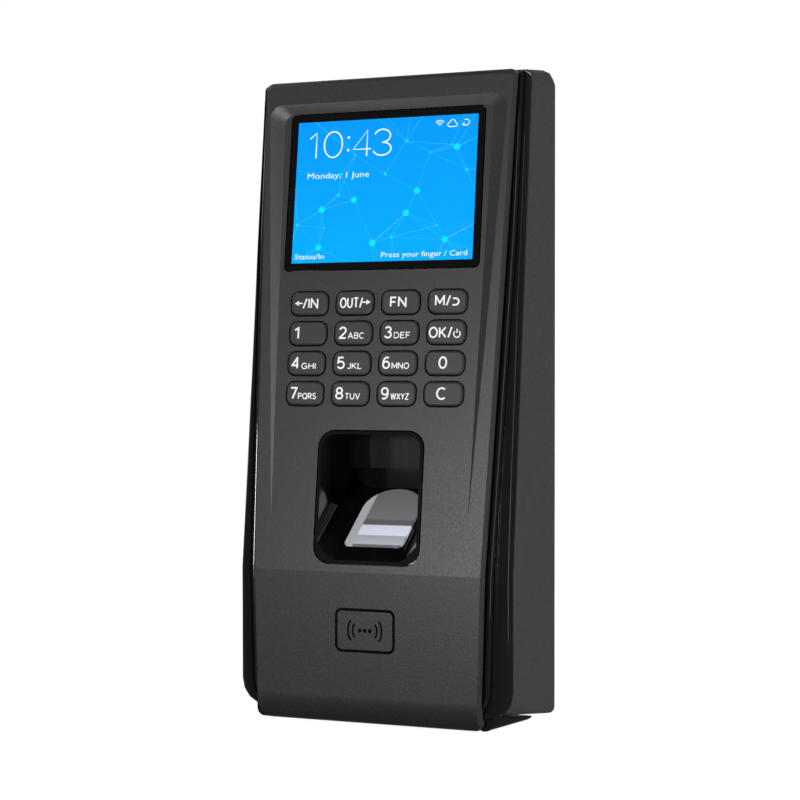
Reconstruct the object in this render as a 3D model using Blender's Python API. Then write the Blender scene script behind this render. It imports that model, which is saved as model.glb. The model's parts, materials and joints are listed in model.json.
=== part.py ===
"""Wall terminal with a fingerprint sensor, a colour display, a keypad and a card reader.

Axes: +Z up, the front faces -Y, +X is to the right seen from the front.
The origin is on the wall face, at the middle of the terminal's back.
All dimensions below are millimetres; MM turns them into metres.
"""
import math

import bmesh
import bpy
from mathutils import Matrix, Vector

MM = 0.001
GAP = 0.3                 # clearance between neighbouring pieces

# Overall body
Z_TOP = 82.4              # top of the rear housing at the wall
Z_BOTTOM = -82.0          # lowest line of the front cover
WALL_HALF = 39.0          # half width at the wall
HOUSING_Z_BOTTOM = -81.4  # underside of the rear housing at the wall

# Front face: an upper plane that leans back and a lower plane parallel to the wall
Z_CREASE = -43.9
CREASE_DEPTH = 32.1
FRONT_SLOPE = math.radians(6.9)
ROLL_START = -74.5        # the lower plane rolls back below this height
ROLL_DEPTH = 5.2

# Front cover
COVER_TOP = 80.6
TOP_ROUND = 1.2           # the cover's top edge is rounded back over this height
COVER_HALF_CREASE = 30.5
COVER_TAPER = 0.0285      # growth of the half width per millimetre of height
COVER_WALL = 1.8
COVER_SKIN = 2.6          # thickness behind the front plane
COVER_REAR = 5.7          # rear edge of its side walls, behind the front plane

# Gloss mid frame and rear housing
FRAME_REAR = 6.1
FRAME_TOP = 80.4
FRAME_BOTTOM = -79.2      # lower end of its side bars
SKIRT_BOTTOM = -81.9
SKIRT_REAR = 10.2         # rear end of the skirt, from the wall
HOUSING_FRONT = 6.4       # front edge of the housing, behind the front plane
HOUSING_HALF_FRONT = 36.4
HOUSING_WALL = 2.0
BACK_INNER = 4.0          # inner face of the housing's back wall, from the wall plane
BACK_OUTER = 2.0

# Shallow recess around the display and the keypad
RECESS_TOP = 71.9
RECESS_FADE = -31.0       # the recess floor meets the front plane here
RECESS_DEPTH = 1.0        # at its top
RECESS_HALF_TOP = 28.4
RECESS_HALF_FADE = 26.3
RECESS_SIDE_RUN = 4.0     # width of the side bevel per millimetre of depth
RECESS_TOP_RUN = 2.6

# Display
DISPLAY_Z = 51.6
DISPLAY_WIDTH = 52.5
DISPLAY_HEIGHT = 40.5
DISPLAY_LENS = 1.5
PANEL_WIDTH = 55.0
PANEL_HEIGHT = 43.4

# Keypad
KEY_PITCH_X = 12.43
KEY_PITCH_Z = 7.66
KEY_WIDTH = 10.2
KEY_HEIGHT = 6.0
KEY_RADIUS = 2.0
KEY_PROUD = 0.55
KEY_ROW_Z = 22.95         # height of the first row's centre
KEY_FLANGE_TOP = 2.75
KEY_FLANGE_BOTTOM = 3.5
KEY_FLANGE_RIM = 0.5
KEY_TRAVEL = 0.8
KEY_NAMES = (
    ("key_in", "key_out", "key_fn", "key_menu"),
    ("key_1", "key_2", "key_3", "key_ok"),
    ("key_4", "key_5", "key_6", "key_0"),
    ("key_7", "key_8", "key_9", "key_clear"),
)

# Finger opening and sensor
WELL_HALF = 14.3
WELL_TOP = -8.8
WELL_BOTTOM = -42.1
WELL_RADIUS = 4.4
WELL_RIM = 1.1
RAMP_Y = -27.0            # near edge of the glass
RAMP_Z = -37.8
RAMP_ANGLE = math.radians(34.4)
RAMP_SKIN = 2.4
GLASS_HALF = 7.8
GLASS_LENGTH = 23.0
GLASS_PROUD = 0.3
GLASS_DEPTH = 2.2
TROUGH_RISE = 3.0         # rise of the ramp towards the side walls

# Boards behind the recess floor, measured down from it
PANEL_TOP = 2.4
PANEL_BOTTOM = 5.0
MAT_PAD = KEY_FLANGE_BOTTOM + KEY_TRAVEL + 0.2
MAT_TOP = 5.0
MAT_BOTTOM = 5.8
BOARD_TOP = 6.2
BOARD_BOTTOM = 7.4

# Main board on the housing's back wall, measured from the wall plane
MAIN_BOARD_REAR = 6.8
MAIN_BOARD_FRONT = 8.4
BOARD_SCREWS = ((-27.0, -8.0), (27.0, -8.0), (-27.0, 66.0), (27.0, 66.0))

# Cable bay, tamper plunger, locking screw and service socket
BAY_HALF = 26.0
BAY_LOW = -68.0
BAY_HIGH = -47.0
PLUNGER_RADIUS = 1.6
PLUNGER_X = 4.0
PLUNGER_Z = -7.0
PLUNGER_TRAVEL = 1.2
LOCK_RADIUS = 2.2
LOCK_Y = -6.6
USB_X = -14.0
CARRIER_FRONT = 18.0      # socket board, measured from the wall
CARRIER_REAR = 16.4

PARTS = "fingerprint_terminal"
CUTTERS = "fingerprint_terminal_cutters"


# ---------------------------------------------------------------- scene helpers

def clear_scene():
    for obj in list(bpy.data.objects):
        bpy.data.objects.remove(obj, do_unlink=True)
    for group in list(bpy.data.collections):
        bpy.data.collections.remove(group)


def make_collection(name):
    group = bpy.data.collections.new(name)
    bpy.context.scene.collection.children.link(group)
    return group


def make_material(name, colour, roughness, metallic=0.0):
    material = bpy.data.materials.new(name)
    material.use_nodes = True
    shader = material.node_tree.nodes["Principled BSDF"]
    shader.inputs["Base Color"].default_value = (*colour, 1.0)
    shader.inputs["Roughness"].default_value = roughness
    shader.inputs["Metallic"].default_value = metallic
    return material


def place(obj, group):
    for owner in list(obj.users_collection):
        owner.objects.unlink(obj)
    group.objects.link(obj)
    return obj


def mesh_object(name, bm, smooth_angle=None):
    """Turn a bmesh in millimetres into an object in metres."""
    bmesh.ops.remove_doubles(bm, verts=bm.verts, dist=1e-5)
    bmesh.ops.recalc_face_normals(bm, faces=bm.faces)
    bmesh.ops.scale(bm, vec=(MM, MM, MM), verts=bm.verts)
    mesh = bpy.data.meshes.new(name)
    bm.to_mesh(mesh)
    bm.free()
    if smooth_angle is not None:
        mesh.shade_smooth()
        mesh.set_sharp_from_angle(angle=math.radians(smooth_angle))
    return bpy.data.objects.new(name, mesh)


def stand(obj, frame):
    """Put an object made at the origin onto a frame given in millimetres."""
    obj.matrix_world = Matrix.Diagonal((MM, MM, MM, 1.0)) @ frame \
        @ Matrix.Diagonal((1 / MM, 1 / MM, 1 / MM, 1.0))
    return obj


def finish_part(obj, material):
    place(obj, parts)
    obj.data.materials.clear()
    obj.data.materials.append(material)
    return obj


def finish_cutter(obj):
    place(obj, cutters)
    obj.hide_render = True
    obj.display_type = "WIRE"
    return obj


def boolean(obj, other, operation="DIFFERENCE"):
    step = obj.modifiers.new(operation.lower(), "BOOLEAN")
    step.operation = operation
    step.solver = "EXACT"
    step.object = other
    return step


# ---------------------------------------------------------------- shape helpers

def plane_depth(z):
    """Distance of the front planes from the wall at a height."""
    if z > Z_CREASE:
        return CREASE_DEPTH - (z - Z_CREASE) * math.tan(FRONT_SLOPE)
    return CREASE_DEPTH


def face_depth(z, skin=0.0, drop=0.0):
    """Distance of the cover's face from the wall, with the roll at its lower edge.

    skin moves the face back and drop shortens the roll, for the inner face."""
    if z >= ROLL_START:
        return plane_depth(z) - skin
    height = ROLL_START - Z_BOTTOM - drop
    share = min(1.0, (ROLL_START - z) / height)
    rest = CREASE_DEPTH - ROLL_DEPTH
    return rest + (ROLL_DEPTH - skin) * math.sqrt(1.0 - share * share)


def cover_half(z):
    return COVER_HALF_CREASE + COVER_TAPER * (z - Z_CREASE)


def floor_share(z):
    return (z - RECESS_FADE) / (RECESS_TOP - RECESS_FADE)


def floor_offset(z):
    """Depth of the recess floor behind the front plane."""
    return RECESS_DEPTH * floor_share(z)


FLOOR_SLOPE = math.atan(math.tan(FRONT_SLOPE) + RECESS_DEPTH / (RECESS_TOP - RECESS_FADE))
FLOOR_UP = Vector((0.0, math.sin(FLOOR_SLOPE), math.cos(FLOOR_SLOPE)))
FLOOR_OUT = Vector((0.0, -math.cos(FLOOR_SLOPE), math.sin(FLOOR_SLOPE)))


def floor_frame(x, z):
    """Axes on the recess floor: X, up the floor, and out of it."""
    origin = Vector((x, -(plane_depth(z) - floor_offset(z)), z))
    frame = Matrix.Identity(4)
    frame.col[1][:3] = FLOOR_UP
    frame.col[2][:3] = FLOOR_OUT
    frame.col[3][:3] = origin
    return frame


RAMP_ALONG = Vector((0.0, math.cos(RAMP_ANGLE), math.sin(RAMP_ANGLE)))
RAMP_OUT = Vector((0.0, -math.sin(RAMP_ANGLE), math.cos(RAMP_ANGLE)))


def ramp_frame():
    """Axes on the sensor's ramp: X, back and up along it, and out of it."""
    frame = Matrix.Identity(4)
    frame.col[1][:3] = RAMP_ALONG
    frame.col[2][:3] = RAMP_OUT
    frame.col[3][:3] = Vector((0.0, RAMP_Y, RAMP_Z))
    return frame


def ramp_z(y, below=0.0):
    return RAMP_Z + (y - RAMP_Y) * math.tan(RAMP_ANGLE) - below / math.cos(RAMP_ANGLE)


def half_outline(half, z_top, z_bottom, r_top, r_bottom, stations, steps=4):
    """Right half of a rounded outline, bottom to top; half(z) gives its half width."""
    points = []
    for i in range(steps + 1):
        angle = -math.pi / 2 + i * math.pi / 2 / steps
        centre = z_bottom + r_bottom
        points.append((half(centre) - r_bottom + r_bottom * math.cos(angle),
                       centre + r_bottom * math.sin(angle)))
    points += [(half(z), z) for z in stations if z_bottom + r_bottom < z < z_top - r_top]
    for i in range(steps + 1):
        angle = i * math.pi / 2 / steps
        centre = z_top - r_top
        points.append((half(centre) - r_top + r_top * math.cos(angle),
                       centre + r_top * math.sin(angle)))
    return points


def add_loft(bm, rings, depth_of, ring_closed=False):
    """Skin between outlines of equal length. rings holds half outlines, and
    depth_of(k, z) is the distance of ring k from the wall. Each ring is mirrored, and
    the ends are closed with strips across, or joined to each other."""
    loops = []
    for k, half in enumerate(rings):
        right = [bm.verts.new((x, -depth_of(k, z), z)) for x, z in half]
        left = [bm.verts.new((-x, -depth_of(k, z), z)) for x, z in half]
        loops.append((right, left))
    count = len(rings[0])
    pairs = [(k, k + 1) for k in range(len(rings) - 1)]
    if ring_closed:
        pairs.append((len(rings) - 1, 0))
    for a, b in pairs:
        for side in (0, 1):
            for i in range(count - 1):
                bm.faces.new((loops[a][side][i], loops[a][side][i + 1],
                              loops[b][side][i + 1], loops[b][side][i]))
        for end in (0, count - 1):
            bm.faces.new((loops[a][0][end], loops[b][0][end], loops[b][1][end], loops[a][1][end]))
    if not ring_closed:
        for right, left in (loops[0], loops[-1]):
            for i in range(count - 1):
                bm.faces.new((right[i], right[i + 1], left[i + 1], left[i]))


def add_box(bm, low, high):
    size = [high[i] - low[i] for i in range(3)]
    centre = [(high[i] + low[i]) / 2 for i in range(3)]
    matrix = Matrix.Translation(centre) @ Matrix.Diagonal((*size, 1.0))
    return bmesh.ops.create_cube(bm, size=1.0, matrix=matrix)["verts"]


def box(name, low, high, bevel=0.0):
    bm = bmesh.new()
    add_box(bm, low, high)
    if bevel:
        bmesh.ops.bevel(bm, geom=list(bm.edges), offset=bevel, segments=1, affect="EDGES")
    return mesh_object(name, bm)


def prism(name, outline, low, high, frame=None, smooth_angle=None):
    """Solid of an outline given in X and Y, from Z low to Z high, placed by a frame."""
    bm = bmesh.new()
    add_prism(bm, outline, low, high)
    if frame is not None:
        bmesh.ops.transform(bm, matrix=frame, verts=bm.verts)
    return mesh_object(name, bm, smooth_angle)


def add_prism(bm, outline, low, high):
    face = bm.faces.new([bm.verts.new((x, y, low)) for x, y in outline])
    moved = bmesh.ops.extrude_face_region(bm, geom=[face])["geom"]
    verts = [item for item in moved if isinstance(item, bmesh.types.BMVert)]
    bmesh.ops.translate(bm, vec=(0.0, 0.0, high - low), verts=verts)


def side_prism(name, profile, half):
    """Solid of a profile given in Y and Z, across X from -half to half."""
    frame = Matrix(((0, 0, 1, 0), (1, 0, 0, 0), (0, 1, 0, 0), (0, 0, 0, 1)))
    return prism(name, profile, -half, half, frame)


def wall_prism(name, outline, low, high):
    """Solid of an outline given in X and Z, from Y low to Y high."""
    frame = Matrix(((1, 0, 0, 0), (0, 0, 1, 0), (0, 1, 0, 0), (0, 0, 0, 1)))
    return prism(name, outline, low, high, frame)


def rounded_rectangle(width, height, radius, steps=4, centre=(0.0, 0.0)):
    points = []
    for quarter in range(4):
        cx = centre[0] + (width / 2 - radius) * (1 if quarter in (0, 3) else -1)
        cy = centre[1] + (height / 2 - radius) * (1 if quarter in (0, 1) else -1)
        for i in range(steps + 1):
            angle = (quarter + i / steps) * math.pi / 2
            points.append((cx + radius * math.cos(angle), cy + radius * math.sin(angle)))
    return points


def d_outline(half, length, radius, steps=12):
    """Straight near end with small corners, and a round far end."""
    points = []
    for i in range(4):
        angle = -math.pi / 2 + i * math.pi / 6
        points.append((half - radius + radius * math.cos(angle), radius + radius * math.sin(angle)))
    for i in range(steps + 1):
        angle = i * math.pi / steps
        points.append((half * math.cos(angle), length - half + half * math.sin(angle)))
    for i in range(4):
        angle = math.pi + i * math.pi / 6
        points.append((radius - half + radius * math.cos(angle), radius + radius * math.sin(angle)))
    return points


def cylinder(name, radius, low, high, axis_frame, segments=16, smooth=True):
    """Cylinder along the frame's Z axis."""
    bm = bmesh.new()
    middle = Matrix.Translation((0.0, 0.0, (low + high) / 2))
    bmesh.ops.create_cone(bm, cap_ends=True, segments=segments, radius1=radius, radius2=radius,
                          depth=high - low, matrix=axis_frame @ middle)
    return mesh_object(name, bm, 35 if smooth else None)


def turned(bm, profile, segments):
    """Solid of (radius, height) points turned about Z, closed at both ends."""
    loops = [[bm.verts.new((r * math.cos(2 * math.pi * i / segments),
                            r * math.sin(2 * math.pi * i / segments), height))
              for i in range(segments)] for r, height in profile]
    stack_loops(bm, loops)


def stack_loops(bm, loops):
    for lower, upper in zip(loops, loops[1:]):
        for i in range(len(lower)):
            j = (i + 1) % len(lower)
            bm.faces.new((lower[i], lower[j], upper[j], upper[i]))
    bm.faces.new(loops[0])
    bm.faces.new(loops[-1])


def facing_wall(x, z):
    """Frame whose Z axis runs from the wall to the front, at a place on the wall."""
    frame = Matrix.Identity(4)
    frame.col[1][:3] = Vector((0.0, 0.0, 1.0))
    frame.col[2][:3] = Vector((0.0, -1.0, 0.0))
    frame.col[3][:3] = Vector((x, 0.0, z))
    return frame


# ---------------------------------------------------------------- casing

ROLL_STATIONS = (-79.2, -78.1, -76.9, -75.7, ROLL_START)
SIDE_STATIONS = (-60.0, Z_CREASE, 0.0, 40.0)


def inset_half(amount):
    return lambda z: cover_half(z) - amount


def build_front_cover():
    edge = ((0.45, 0.0), (0.13, 0.13), (0.0, 0.45), (0.0, COVER_REAR))
    rings = []
    for inset, _ in edge:
        rings.append(half_outline(inset_half(inset), COVER_TOP - inset * TOP_ROUND / 0.45,
                                  Z_BOTTOM + inset, 1.6, 2.3, ROLL_STATIONS + SIDE_STATIONS, 4))

    def depth_of(k, z):
        if k == len(edge) - 1:
            return plane_depth(z) - COVER_REAR
        near_top = max(0.0, min(1.0, (z - COVER_TOP + TOP_ROUND + 1.0) / 1.6))
        return face_depth(z) - edge[k][1] * (1.0 + near_top * (TOP_ROUND / 0.45 - 1.0))

    bm = bmesh.new()
    add_loft(bm, rings, depth_of)
    cover = mesh_object("front_cover", bm, 30)

    hollow_half = inset_half(COVER_WALL)
    hollow = half_outline(hollow_half, COVER_TOP - COVER_WALL, Z_BOTTOM + 1.5,
                          1.2, 1.2, ROLL_STATIONS[1:] + SIDE_STATIONS, 3)
    bm = bmesh.new()
    add_loft(bm, [hollow, hollow],
             lambda k, z: plane_depth(z) - COVER_REAR - 1.0 if k else face_depth(z, COVER_SKIN, 1.5))
    boolean(cover, finish_cutter(mesh_object("cut_cover_hollow", bm)))
    boolean(cover, recess_cutter())
    boolean(cover, window_cutter())
    boolean(cover, key_cutter())
    boolean(cover, well_cutter())
    return finish_part(cover, plastic_cover)


def recess_cutter():
    """Tapered block whose small end is the recess floor."""
    low = RECESS_FADE - 8.0
    lift = 1.6

    def ring(out):
        def half(z):
            share = floor_share(z)
            floor = RECESS_HALF_FADE + (RECESS_HALF_TOP - RECESS_HALF_FADE) * share
            return floor + RECESS_SIDE_RUN * out
        return half_outline(half, RECESS_TOP + RECESS_TOP_RUN * out, low,
                            2.2 + 1.2 * out, 0.5, (0.0, 40.0), 3)

    bm = bmesh.new()
    add_loft(bm, [ring(0.0), ring(lift)],
             lambda k, z: plane_depth(z) - floor_offset(z) + (lift if k else 0.0))
    return finish_cutter(mesh_object("cut_recess", bm))


def window_cutter():
    outline = rounded_rectangle(DISPLAY_WIDTH + 2 * GAP, DISPLAY_HEIGHT + 2 * GAP, 1.4, 3)
    return finish_cutter(prism("cut_window", outline, -6.0, 3.0, floor_frame(0.0, DISPLAY_Z)))


def key_places():
    for row, names in enumerate(KEY_NAMES):
        for column, name in enumerate(names):
            x = (column - 1.5) * KEY_PITCH_X
            z = KEY_ROW_Z - row * KEY_PITCH_Z * math.cos(FLOOR_SLOPE)
            yield name, x, z


def key_cutter():
    bm = bmesh.new()
    outline = rounded_rectangle(KEY_WIDTH + 2 * GAP, KEY_HEIGHT + 2 * GAP, KEY_RADIUS + GAP, 4)
    for _, x, z in key_places():
        before = set(bm.verts)
        add_prism(bm, outline, -5.0, 3.0)
        fresh = [v for v in bm.verts if v not in before]
        bmesh.ops.transform(bm, matrix=floor_frame(x, z), verts=fresh)
    return finish_cutter(mesh_object("cut_keys", bm))


def well_outline(grow):
    centre = (WELL_TOP + WELL_BOTTOM) / 2
    return rounded_rectangle(2 * WELL_HALF + 2 * grow, WELL_TOP - WELL_BOTTOM + 2 * grow,
                             WELL_RADIUS + grow, 5, (0.0, centre))


def well_cutter():
    return finish_cutter(wall_prism("cut_well_opening", well_outline(0.0), -40.0, -15.0))


def build_mid_frame():
    """Gloss ring around the cover: an inner lip, a groove and an outer band that
    widens towards the bottom, where a skirt reaches back under the housing."""
    lip = ((0.15, 3.05), (0.6, 2.5), (1.1, 2.4), (1.6, 2.75), (1.85, 3.4), (2.0, 3.9), (2.4, 3.9))
    band_inner = 2.6
    band_steps = 5

    def outward(extra):
        """Half width at a distance from the cover, less where the frame is narrow."""
        def half(z):
            room = (HOUSING_HALF_FRONT - cover_half(z) - 0.5) / 2.9
            return cover_half(z) + extra * min(1.0, room)
        return half

    rings = []
    depths = []
    for extra, depth in lip:
        rings.append(half_outline(outward(extra), FRAME_TOP - 0.9 + 0.3 * extra,
                                  FRAME_BOTTOM + 3.0 - extra, 0.8, 3.6 + extra,
                                  SIDE_STATIONS, 4))
        depths.append(depth)
    for i in range(band_steps + 1):
        angle = i * math.pi / 2 / band_steps
        share = math.sin(angle)

        def half(z, share=share):
            inner = outward(band_inner)(z)
            return inner + (HOUSING_HALF_FRONT - inner) * share
        rings.append(half_outline(half, FRAME_TOP - 0.1 + 0.2 * share,
                                  FRAME_BOTTOM + 0.5 * (1.0 - share), 0.8 + share,
                                  6.1 + 0.6 * share, SIDE_STATIONS, 4))
        depths.append(3.5 + (FRAME_REAR - 3.5) * (1.0 - math.cos(angle)))
    bm = bmesh.new()
    add_loft(bm, rings, lambda k, z: plane_depth(z) - depths[k])
    frame = mesh_object("mid_frame", bm, 30)

    boolean(frame, frame_middle("cut_frame_middle", GAP, lambda z: 5.0))
    boolean(frame, frame_skirt(), "UNION")
    return finish_part(frame, plastic_gloss)


def frame_middle(name, gap, rear_depth):
    """Space for the cover, open at the top, back to a given distance from the wall."""
    middle = half_outline(inset_half(-gap), COVER_TOP + 6.0, Z_BOTTOM - GAP, 1.0, 2.6,
                          SIDE_STATIONS, 4)
    bm = bmesh.new()
    add_loft(bm, [middle, middle], lambda k, z: rear_depth(z) if k else 45.0)
    return finish_cutter(mesh_object(name, bm))


def frame_skirt():
    """Lower part of the frame, which reaches back under the housing and widens with it."""
    front = CREASE_DEPTH - FRAME_REAR + 1.2
    profile = ((-front, SKIRT_BOTTOM), (-16.0, SKIRT_BOTTOM), (-13.0, SKIRT_BOTTOM + 0.15),
               (-11.2, SKIRT_BOTTOM + 0.4), (-SKIRT_REAR, SKIRT_BOTTOM + 0.8),
               (-SKIRT_REAR, housing_bottom(SKIRT_REAR) - GAP),
               (-CREASE_DEPTH + HOUSING_FRONT - GAP, housing_bottom(25.7) - GAP),
               (-front, housing_bottom(25.7) - GAP))
    skirt = side_prism("add_frame_skirt", profile, 40.0)
    rings = [half_outline(lambda z, half=half: half, -60.0, SKIRT_BOTTOM, 1.0, radius, (-70.0,), 5)
             for half, radius in ((31.2, 2.0), (37.0, 2.6))]
    bm = bmesh.new()
    add_loft(bm, rings, lambda k, z: (front + 2.0, SKIRT_REAR - 2.0)[k])
    boolean(skirt, finish_cutter(mesh_object("keep_frame_skirt", bm)), "INTERSECT")
    seat = frame_middle("cut_skirt_seat", GAP + 0.05, lambda z: plane_depth(z) - COVER_REAR - GAP)
    boolean(skirt, seat)
    return finish_cutter(skirt)


def housing_bottom(depth):
    """Height of the housing's underside, which rises away from the wall."""
    return HOUSING_Z_BOTTOM + 3.4 * depth / 25.7


def build_rear_housing():
    def ring(half, corner, z_bottom, radius, inset):
        """Outline with a rounded bottom corner and a cut top corner given by its points."""
        points = half_outline(lambda z: half - inset, Z_TOP, z_bottom + inset, 3.0, radius,
                              SIDE_STATIONS, 3)
        low = points[:-4]
        return low + [(x - inset, z - inset) for x, z in corner]

    def wall_ring(inset):
        return ring(WALL_HALF, ((39.0, 78.4), (38.4, 80.0), (37.5, 81.55), (35.8, Z_TOP)),
                    HOUSING_Z_BOTTOM, 1.8, inset)

    def front_ring(inset):
        return ring(HOUSING_HALF_FRONT, ((HOUSING_HALF_FRONT, 76.9), (35.9, 79.2), (35.3, 80.6),
                                         (34.4, 81.2)),
                    housing_bottom(25.7), 3.6, inset)

    def front_depth(z):
        return plane_depth(z) - HOUSING_FRONT

    bm = bmesh.new()
    add_loft(bm, [front_ring(0.35), front_ring(0.0), wall_ring(0.0)],
             lambda k, z: (front_depth(z), front_depth(z) - 0.35, 0.0)[k])
    housing = mesh_object("rear_housing", bm, 30)

    bm = bmesh.new()
    add_loft(bm, [front_ring(HOUSING_WALL), wall_ring(HOUSING_WALL + 0.6)],
             lambda k, z: BACK_INNER if k else front_depth(z) + 1.0)
    boolean(housing, finish_cutter(mesh_object("cut_housing_hollow", bm)))

    bosses = bmesh.new()
    for x, z in BOARD_SCREWS:
        frame = facing_wall(x, z) @ Matrix.Translation((0.0, 0.0, MAIN_BOARD_REAR - GAP - 1.5))
        bmesh.ops.create_cone(bosses, cap_ends=True, segments=16, radius1=3.4, radius2=3.0,
                              depth=3.0, matrix=frame)
    boolean(housing, finish_cutter(mesh_object("add_board_bosses", bosses)), "UNION")

    boolean(housing, finish_cutter(box("cut_bracket_bed", (-33.4, -BACK_OUTER, -70.4),
                                       (33.4, 1.0, 74.4))))
    boolean(housing, finish_cutter(box("cut_cable_bay", (-BAY_HALF, -6.0, BAY_LOW),
                                       (BAY_HALF, 1.0, BAY_HIGH))))
    boolean(housing, finish_cutter(cylinder("cut_plunger_hole", PLUNGER_RADIUS + GAP, -1.0, 6.0,
                                            facing_wall(PLUNGER_X, PLUNGER_Z))))
    boolean(housing, finish_cutter(cylinder("cut_lock_hole", LOCK_RADIUS + GAP, -6.0, 6.0,
                                            lock_frame())))
    boolean(housing, finish_cutter(box("cut_usb_hole", (USB_X - 4.3, -9.9, -83.0),
                                       (USB_X + 4.3, -6.1, -75.7))))
    return finish_part(housing, plastic_housing)


# ---------------------------------------------------------------- display, keys, boards

def build_display():
    frame = floor_frame(0.0, DISPLAY_Z)
    outline = rounded_rectangle(DISPLAY_WIDTH, DISPLAY_HEIGHT, 1.1, 3)
    lens = prism("display_window", outline, -0.1 - DISPLAY_LENS, -0.1, frame)
    finish_part(lens, glass_black)

    outline = rounded_rectangle(PANEL_WIDTH, PANEL_HEIGHT, 0.6, 2)
    panel = prism("display_panel", outline, -PANEL_BOTTOM, -PANEL_TOP, frame)
    finish_part(panel, metal_panel)


def build_keys():
    cap = rounded_rectangle(KEY_WIDTH, KEY_HEIGHT, KEY_RADIUS, 4)
    crown = rounded_rectangle(KEY_WIDTH - 0.3, KEY_HEIGHT - 0.3, KEY_RADIUS - 0.15, 4)
    top = rounded_rectangle(KEY_WIDTH - 1.0, KEY_HEIGHT - 1.0, KEY_RADIUS - 0.5, 4)
    flange = rounded_rectangle(KEY_WIDTH + 2 * KEY_FLANGE_RIM, KEY_HEIGHT + 2 * KEY_FLANGE_RIM,
                               KEY_RADIUS + KEY_FLANGE_RIM, 4)
    layers = ((flange, -KEY_FLANGE_BOTTOM), (flange, -KEY_FLANGE_TOP), (cap, -KEY_FLANGE_TOP),
              (cap, KEY_PROUD - 0.45), (crown, KEY_PROUD - 0.12), (top, KEY_PROUD))
    for name, x, z in key_places():
        bm = bmesh.new()
        loops = [[bm.verts.new((px, py, height)) for px, py in outline]
                 for outline, height in layers]
        stack_loops(bm, loops)
        finish_part(stand(mesh_object(name, bm, 40), floor_frame(x, z)), plastic_key)


def build_keypad_mat():
    """Silicone sheet with a raised pad under each key, at its pressed height."""
    z_middle = KEY_ROW_Z - 1.5 * KEY_PITCH_Z * math.cos(FLOOR_SLOPE)
    frame = floor_frame(0.0, z_middle)
    sheet = rounded_rectangle(4 * KEY_PITCH_X, 4 * KEY_PITCH_Z, 1.5, 2)
    mat = prism("keypad_mat", sheet, -MAT_BOTTOM, -MAT_TOP, frame)
    bm = bmesh.new()
    pad = rounded_rectangle(6.0, 3.6, 1.2, 2)
    for _, x, z in key_places():
        before = set(bm.verts)
        add_prism(bm, pad, -MAT_TOP - 0.3, -MAT_PAD)
        fresh = [v for v in bm.verts if v not in before]
        bmesh.ops.transform(bm, matrix=floor_frame(x, z), verts=fresh)
    boolean(mat, finish_cutter(mesh_object("add_mat_pads", bm)), "UNION")
    finish_part(mat, silicone)


def build_front_board():
    frame = floor_frame(0.0, 32.0)
    outline = rounded_rectangle(56.0, 80.0, 1.5, 2)
    board = prism("front_board", outline, -BOARD_BOTTOM, -BOARD_TOP, frame)
    finish_part(board, board_green)


def build_main_board():
    """Board on the back wall of the housing, in the upper two thirds."""
    board = wall_prism("main_board", rounded_rectangle(62.0, 84.0, 2.0, 3, (0.0, 29.0)),
                       -MAIN_BOARD_FRONT, -MAIN_BOARD_REAR)
    boolean(board, finish_cutter(cylinder("cut_plunger_pass", 1.5, 5.0, 10.0,
                                          facing_wall(PLUNGER_X, PLUNGER_Z))))
    chips = bmesh.new()
    for x0, x1, z0, z1, tall in ((-16.0, -2.0, 20.0, 34.0, 1.4), (4.0, 14.0, 22.0, 30.0, 1.2),
                                 (4.0, 12.0, 38.0, 50.0, 1.2), (-22.0, -10.0, 44.0, 52.0, 1.2),
                                 (14.0, 23.0, -8.0, 2.0, 4.6), (-24.0, -14.0, -9.0, -2.0, 2.6)):
        add_box(chips, (x0, -MAIN_BOARD_FRONT - tall, z0), (x1, 0.2 - MAIN_BOARD_FRONT, z1))
    boolean(board, finish_cutter(mesh_object("add_main_board_chips", chips)), "UNION")
    finish_part(board, board_green)
    for number, (x, z) in enumerate(BOARD_SCREWS, 1):
        build_screw(f"board_screw_{number}", facing_wall(x, z), MAIN_BOARD_FRONT + GAP,
                    MAIN_BOARD_FRONT + 1.8, 2.4, 3.2)


def build_screw(name, frame, seat, top, radius, drive):
    """Pan head screw seen from its head: a domed disc with a cross recess."""
    bm = bmesh.new()
    turned(bm, ((radius, seat), (radius, seat + 0.4 * (top - seat)), (0.72 * radius, top)), 14)
    bmesh.ops.transform(bm, matrix=frame, verts=bm.verts)
    screw = mesh_object(name, bm, 35)
    arm = drive / 2
    slot = 0.3
    quarter = ((arm, -slot), (arm, slot), (slot, slot))
    cross = [(x * c - y * s, x * s + y * c) for c, s in ((1, 0), (0, 1), (-1, 0), (0, -1))
             for x, y in quarter]
    boolean(screw, finish_cutter(prism("cut_" + name, cross, top - 0.7, top + 0.5, frame)))
    finish_part(screw, steel)


# ---------------------------------------------------------------- sensor

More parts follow.
